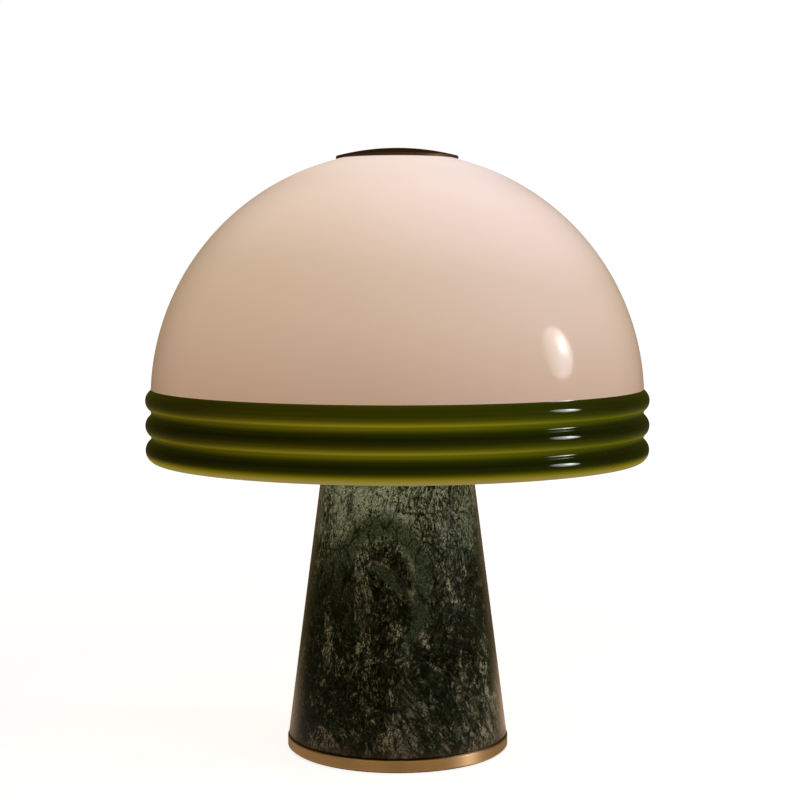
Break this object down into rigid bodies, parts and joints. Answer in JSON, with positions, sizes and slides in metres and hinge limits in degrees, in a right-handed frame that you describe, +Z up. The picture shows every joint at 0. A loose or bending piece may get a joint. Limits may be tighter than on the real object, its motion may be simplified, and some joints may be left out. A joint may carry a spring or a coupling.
{
  "type": "table lamp",
  "caption": "Mushroom table lamp: cream opal glass dome on a ribbed green glass band, under a bronze cap, on a green marble cone and a brass foot.",
  "frame": {"origin": "on the table, under the middle of the foot", "axes": "+Z up along the lamp's axis, -Y towards the viewer of the front, +Y towards the cord inlet"},
  "size_m": [0.3994, 0.3994, 0.4786],
  "materials": {
    "opal_glass": "glossy opal glass, cream white",
    "green_glass": "glossy dark olive green glass",
    "green_marble": "polished dark green marble with pale veins",
    "brass": "satin brushed brass",
    "bronze": "dark patinated bronze, satin",
    "steel": "zinc plated",
    "nickel": "nickel plated",
    "felt": "pressed felt",
    "black_rubber": "matt",
    "clear_rubber": "translucent silicone",
    "black_plastic": "moulded, satin",
    "white_plastic": "moulded",
    "lead_sleeve": "soft insulation",
    "ceramic": "unglazed",
    "bulb_glass": "frosted white"
  },
  "bodies": {
    "frame": {"foot_pad": "felt", "foot_plate": "brass", "lower_washer": "steel", "lower_nut": "brass", "spacer_ring": "black_rubber", "stone_cone": "green_marble", "cord_gland": "black_plastic", "terminal_block": "white_plastic", "terminal_screws": "steel", "tie_rod": "steel", "top_plate": "brass", "clamp_nut": "brass", "lower_sleeve": "brass", "cluster_hub": "brass", "upper_sleeve": "brass", "shade_seat": "brass", "seat_nut": "brass", "seat_gasket": "clear_rubber", "arm_left": "brass", "lead_left": "lead_sleeve", "holder_back_left": "black_plastic", "holder_shell_left": "black_plastic", "holder_insulator_left": "ceramic", "screw_shell_left": "nickel", "centre_contact_left": "brass", "arm_right": "brass", "lead_right": "lead_sleeve", "holder_back_right": "black_plastic", "holder_shell_right": "black_plastic", "holder_insulator_right": "ceramic", "screw_shell_right": "nickel", "centre_contact_right": "brass"},
    "shade": {"opal_dome": "opal_glass", "ribbed_band": "green_glass"},
    "cap_ring": {"cap_washer": "clear_rubber"},
    "cap": {"top_cap": "bronze", "cap_bush": "brass"},
    "bulb_left_contact": {"bulb_tip_left": "nickel"},
    "bulb_left": {"bulb_base_left": "nickel", "bulb_glass_left": "bulb_glass"},
    "bulb_right_contact": {"bulb_tip_right": "nickel"},
    "bulb_right": {"bulb_base_right": "nickel", "bulb_glass_right": "bulb_glass"}
  },
  "joints": [
    {"name": "shade_lift", "type": "slide", "parent": "frame", "child": "shade", "axis": [0, 0, 1], "range_m": [0, 0.255]},
    {"name": "cap_rise", "type": "slide", "parent": "shade", "child": "cap_ring", "axis": [0, 0, 1], "range_m": [0, 0.005]},
    {"name": "cap_turn", "type": "hinge", "parent": "cap_ring", "child": "cap", "pos_m": [0, 0, 0.4761], "axis": [0, 0, 1], "range_deg": [0, 1800]},
    {"name": "bulb_left_out", "type": "slide", "parent": "frame", "child": "bulb_left_contact", "axis": [-0.7071, 0, 0.7071], "range_m": [0, 0.01452]},
    {"name": "bulb_left_turn", "type": "hinge", "parent": "bulb_left_contact", "child": "bulb_left", "pos_m": [0, 0, 0.28807], "axis": [-0.7071, 0, 0.7071], "range_deg": [0, 1440]},
    {"name": "bulb_right_out", "type": "slide", "parent": "frame", "child": "bulb_right_contact", "axis": [0.7071, 0, 0.7071], "range_m": [0, 0.01452]},
    {"name": "bulb_right_turn", "type": "hinge", "parent": "bulb_right_contact", "child": "bulb_right", "pos_m": [0, 0, 0.28807], "axis": [0.7071, 0, 0.7071], "range_deg": [0, 1440]}
  ],
  "couplings": [
    {"joint": "cap_rise", "follows": "cap_turn", "m_per_rad": 0.00015915},
    {"joint": "bulb_left_out", "follows": "bulb_left_turn", "m_per_rad": 0.00057757},
    {"joint": "bulb_right_out", "follows": "bulb_right_turn", "m_per_rad": 0.00057757}
  ]
}
